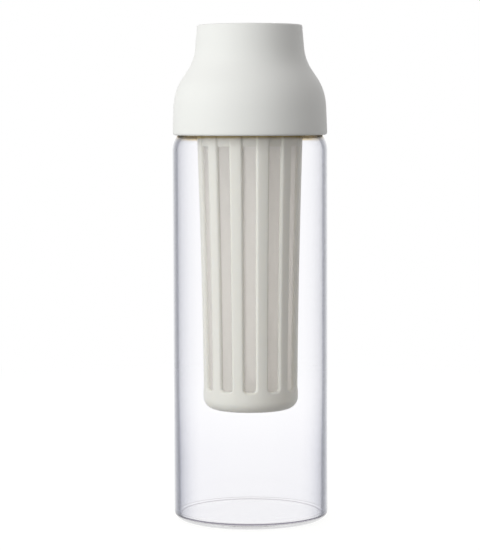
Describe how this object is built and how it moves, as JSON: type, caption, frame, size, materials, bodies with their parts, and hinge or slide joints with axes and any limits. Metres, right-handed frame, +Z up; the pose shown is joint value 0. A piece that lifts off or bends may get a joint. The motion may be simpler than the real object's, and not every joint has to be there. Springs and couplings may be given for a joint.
{
  "type": "cold brew carafe",
  "caption": "Straight glass carafe with a bottle-shaped push-on cap and a ribbed mesh strainer hanging inside from the rim, for steeping coffee or tea.",
  "frame": {"origin": "centre of the jug's flat base, on the table", "axes": "+Z up along the carafe's axis; the picture looks along +Y"},
  "size_m": [0.0906, 0.0906, 0.2893],
  "materials": {
    "clear_glass": "polished clear borosilicate glass",
    "cap_plastic": "satin white polypropylene",
    "strainer_plastic": "satin off-white polypropylene",
    "strainer_cloth": "fine woven polyester mesh",
    "silicone": "translucent amber silicone"
  },
  "bodies": {
    "jug": {"glass_jug": "clear_glass"},
    "strainer": {"strainer_frame": "strainer_plastic", "strainer_mesh": "strainer_cloth", "strainer_grip_ring": "silicone"},
    "cap": {"cap_shell": "cap_plastic", "inner_lid": "cap_plastic", "lid_gasket": "silicone"}
  },
  "joints": [
    {"name": "strainer_lift", "type": "slide", "parent": "jug", "child": "strainer", "axis": [0, 0, 1], "range_m": [0, 0.19]},
    {"name": "cap_lift", "type": "slide", "parent": "strainer", "child": "cap", "axis": [0, 0, 1], "range_m": [0, 0.04]}
  ]
}
